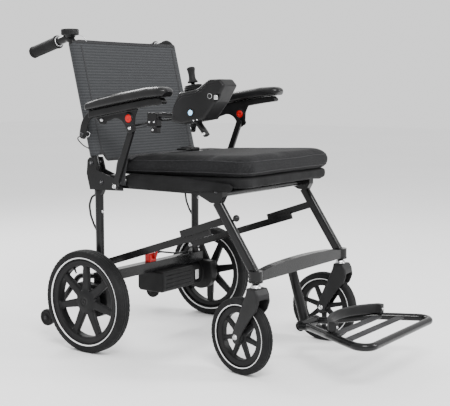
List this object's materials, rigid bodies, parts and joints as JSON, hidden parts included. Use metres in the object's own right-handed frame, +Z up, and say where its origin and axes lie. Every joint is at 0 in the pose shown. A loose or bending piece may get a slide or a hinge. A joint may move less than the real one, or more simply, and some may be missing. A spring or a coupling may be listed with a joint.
{
  "type": "power wheelchair",
  "caption": "Folding power wheelchair with mesh back, padded seat, flip-up arms, side joystick, spoked drive wheels, swivel casters and centre-mounted footplate.",
  "frame": {"origin": "bottom centre of the whole chair, on the floor", "axes": "+X to the occupant's left, +Y to the rear, +Z up; the chair faces -Y"},
  "size_m": [0.616, 1.1134, 0.907],
  "materials": {
    "tyre": "matt moulded tread",
    "rim_plastic": "fine moulded texture",
    "frame_paint": "gloss powder coat",
    "fork_plastic": "satin moulded cover",
    "mesh_fabric": "ribbed air mesh",
    "cushion_fabric": "three layer mesh",
    "webbing": "woven tape",
    "armrest_gloss": "polished moulding",
    "pod_plastic": "satin moulding",
    "rubber": "soft moulded",
    "red_plastic": "polished",
    "steel": "zinc plated",
    "motor_paint": "satin cast housing",
    "case_plastic": "moulded shell",
    "cable_jacket": "smooth jacket",
    "lamp_button": "lit lens"
  },
  "bodies": {
    "chassis": {"seat_rails": "frame_paint", "seat_pan": "cushion_fabric", "seat_cushion": "cushion_fabric", "front_legs": "frame_paint", "front_crossbar": "frame_paint", "lower_crossbar": "frame_paint", "footrest_hanger": "frame_paint", "rear_brackets": "frame_paint", "pivot_pins": "steel", "lap_belt": "webbing", "side_stay_fronts": "frame_paint"},
    "stay_knob": {"stay_knob": "pod_plastic"},
    "rear_frame": {"rear_legs": "frame_paint", "axle_beam": "frame_paint", "battery_case": "case_plastic", "battery_plug": "red_plastic", "gear_motors": "motor_paint", "anti_tip_arms": "frame_paint", "motor_cables": "cable_jacket"},
    "backrest": {"back_upright_left": "frame_paint", "back_upright_right": "frame_paint", "back_brace": "frame_paint", "back_fabric": "mesh_fabric", "handle_grips": "rubber", "handle_drum": "pod_plastic"},
    "footplate": {"footplate_frame": "frame_paint", "footplate_slats": "frame_paint", "heel_loop": "fork_plastic"},
    "joystick_gimbal": {"joystick_gimbal": "steel"},
    "joystick_stick": {"joystick_stick": "rubber"},
    "power_button": {"power_button": "lamp_button"},
    "speed_switch": {"speed_switch": "steel"},
    "side_stay_left": {"side_stay_rear_left": "frame_paint"},
    "rear_wheel_left": {"rear_tyre_left": "tyre", "rear_rim_left": "rim_plastic"},
    "caster_left": {"caster_fork_left": "fork_plastic", "caster_axle_left": "steel"},
    "caster_wheel_left": {"caster_tyre_left": "tyre", "caster_rim_left": "rim_plastic"},
    "anti_tip_left": {"anti_tip_wheel_left": "rubber"},
    "armrest_left": {"armrest_pad_left": "armrest_gloss", "armrest_bracket_left": "pod_plastic"},
    "arm_post_left": {"arm_post_left": "frame_paint"},
    "release_button_left": {"release_button_left": "red_plastic"},
    "side_stay_right": {"side_stay_rear_right": "frame_paint"},
    "rear_wheel_right": {"rear_tyre_right": "tyre", "rear_rim_right": "rim_plastic"},
    "caster_right": {"caster_fork_right": "fork_plastic", "caster_axle_right": "steel"},
    "caster_wheel_right": {"caster_tyre_right": "tyre", "caster_rim_right": "rim_plastic"},
    "anti_tip_right": {"anti_tip_wheel_right": "rubber"},
    "armrest_right": {"armrest_pad_right": "armrest_gloss", "armrest_bracket_right": "pod_plastic", "joystick_housing": "pod_plastic", "joystick_boot": "rubber", "joystick_arm": "frame_paint", "joystick_cable": "cable_jacket"},
    "arm_post_right": {"arm_post_right": "frame_paint"},
    "release_button_right": {"release_button_right": "red_plastic"}
  },
  "joints": [
    {"name": "frame_fold", "type": "hinge", "parent": "chassis", "child": "rear_frame", "pos_m": [0, 0.26725, 0.478], "axis": [-1, 0, 0], "range_deg": [0, 49]},
    {"name": "backrest_fold", "type": "hinge", "parent": "chassis", "child": "backrest", "pos_m": [0, 0.30525, 0.53], "axis": [1, 0, 0], "range_deg": [0, 72]},
    {"name": "side_stay_left_slide_pivot", "type": "hinge", "parent": "rear_frame", "child": "side_stay_left", "pos_m": [0.203, 0.29325, 0.24], "axis": [-1, 0, 0], "range_deg": [-49, 0]},
    {"name": "rear_wheel_left_spin", "type": "hinge", "parent": "rear_frame", "child": "rear_wheel_left", "pos_m": [0.288, 0.28225, 0.1455], "axis": [1, 0, 0], "continuous": true},
    {"name": "caster_left_swivel", "type": "hinge", "parent": "chassis", "child": "caster_left", "pos_m": [0.22, -0.24075, 0.26], "axis": [0, 0, 1], "continuous": true},
    {"name": "caster_wheel_left_spin", "type": "hinge", "parent": "caster_left", "child": "caster_wheel_left", "pos_m": [0.21782, -0.1908, 0.1016], "axis": [0.999, 0.0436, 0], "continuous": true},
    {"name": "anti_tip_left_spin", "type": "hinge", "parent": "rear_frame", "child": "anti_tip_left", "pos_m": [0.243, 0.49025, 0.061], "axis": [1, 0, 0], "continuous": true},
    {"name": "armrest_left_fold", "type": "hinge", "parent": "backrest", "child": "armrest_left", "pos_m": [0.252, 0.32495, 0.61], "axis": [1, 0, 0], "range_deg": [-58.86, 0]},
    {"name": "arm_post_left_fold", "type": "hinge", "parent": "chassis", "child": "arm_post_left", "pos_m": [0.252, 0.20525, 0.471], "axis": [1, 0, 0], "range_deg": [0, 41.05]},
    {"name": "release_button_left_press", "type": "slide", "parent": "armrest_left", "child": "release_button_left", "axis": [-1, 0, 0], "range_m": [0, 0.0025], "stiffness_N_per_m": 500},
    {"name": "side_stay_right_slide_pivot", "type": "hinge", "parent": "rear_frame", "child": "side_stay_right", "pos_m": [-0.203, 0.29325, 0.24], "axis": [-1, 0, 0], "range_deg": [-49, 0]},
    {"name": "rear_wheel_right_spin", "type": "hinge", "parent": "rear_frame", "child": "rear_wheel_right", "pos_m": [-0.288, 0.28225, 0.1455], "axis": [1, 0, 0], "continuous": true},
    {"name": "caster_right_swivel", "type": "hinge", "parent": "chassis", "child": "caster_right", "pos_m": [-0.22, -0.24075, 0.26], "axis": [0, 0, 1], "continuous": true},
    {"name": "caster_wheel_right_spin", "type": "hinge", "parent": "caster_right", "child": "caster_wheel_right", "pos_m": [-0.21209, -0.19138, 0.1016], "axis": [0.9874, -0.1582, 0], "continuous": true},
    {"name": "anti_tip_right_spin", "type": "hinge", "parent": "rear_frame", "child": "anti_tip_right", "pos_m": [-0.243, 0.49025, 0.061], "axis": [1, 0, 0], "continuous": true},
    {"name": "armrest_right_fold", "type": "hinge", "parent": "backrest", "child": "armrest_right", "pos_m": [-0.252, 0.32495, 0.61], "axis": [1, 0, 0], "range_deg": [-58.86, 0]},
    {"name": "arm_post_right_fold", "type": "hinge", "parent": "chassis", "child": "arm_post_right", "pos_m": [-0.252, 0.20525, 0.471], "axis": [1, 0, 0], "range_deg": [0, 41.05]},
    {"name": "release_button_right_press", "type": "slide", "parent": "armrest_right", "child": "release_button_right", "axis": [1, 0, 0], "range_m": [0, 0.0025], "stiffness_N_per_m": 500},
    {"name": "stay_knob_pull", "type": "slide", "parent": "chassis", "child": "stay_knob", "axis": [0, -0.827, 0.5622], "range_m": [0, 0.006], "stiffness_N_per_m": 500},
    {"name": "footplate_flip", "type": "hinge", "parent": "chassis", "child": "footplate", "pos_m": [0, -0.26675, 0.104], "axis": [-1, 0, 0], "range_deg": [0, 75]},
    {"name": "joystick_fore_aft", "type": "hinge", "parent": "armrest_right", "child": "joystick_gimbal", "pos_m": [-0.265, -0.07945, 0.73106], "axis": [1, 0, 0], "range_deg": [-12, 12], "stiffness_Nm_per_rad": 0.3},
    {"name": "joystick_side_to_side", "type": "hinge", "parent": "joystick_gimbal", "child": "joystick_stick", "pos_m": [-0.265, -0.07945, 0.73106], "axis": [0, 0.9848, -0.1736], "range_deg": [-12, 12], "stiffness_Nm_per_rad": 0.3},
    {"name": "power_button_press", "type": "slide", "parent": "armrest_right", "child": "power_button", "axis": [1, 0, 0], "range_m": [0, 0.0012], "stiffness_N_per_m": 500},
    {"name": "speed_switch_slide", "type": "slide", "parent": "armrest_right", "child": "speed_switch", "axis": [0, 1, 0], "range_m": [-0.003, 0.003]}
  ],
  "couplings": [
    {"joint": "side_stay_left_slide_pivot", "follows": "frame_fold", "ratio": -1},
    {"joint": "armrest_left_fold", "follows": "backrest_fold", "ratio": -0.8106},
    {"joint": "arm_post_left_fold", "follows": "backrest_fold", "ratio": 0.56313},
    {"joint": "side_stay_right_slide_pivot", "follows": "frame_fold", "ratio": -1},
    {"joint": "armrest_right_fold", "follows": "backrest_fold", "ratio": -0.8106},
    {"joint": "arm_post_right_fold", "follows": "backrest_fold", "ratio": 0.56313}
  ]
}
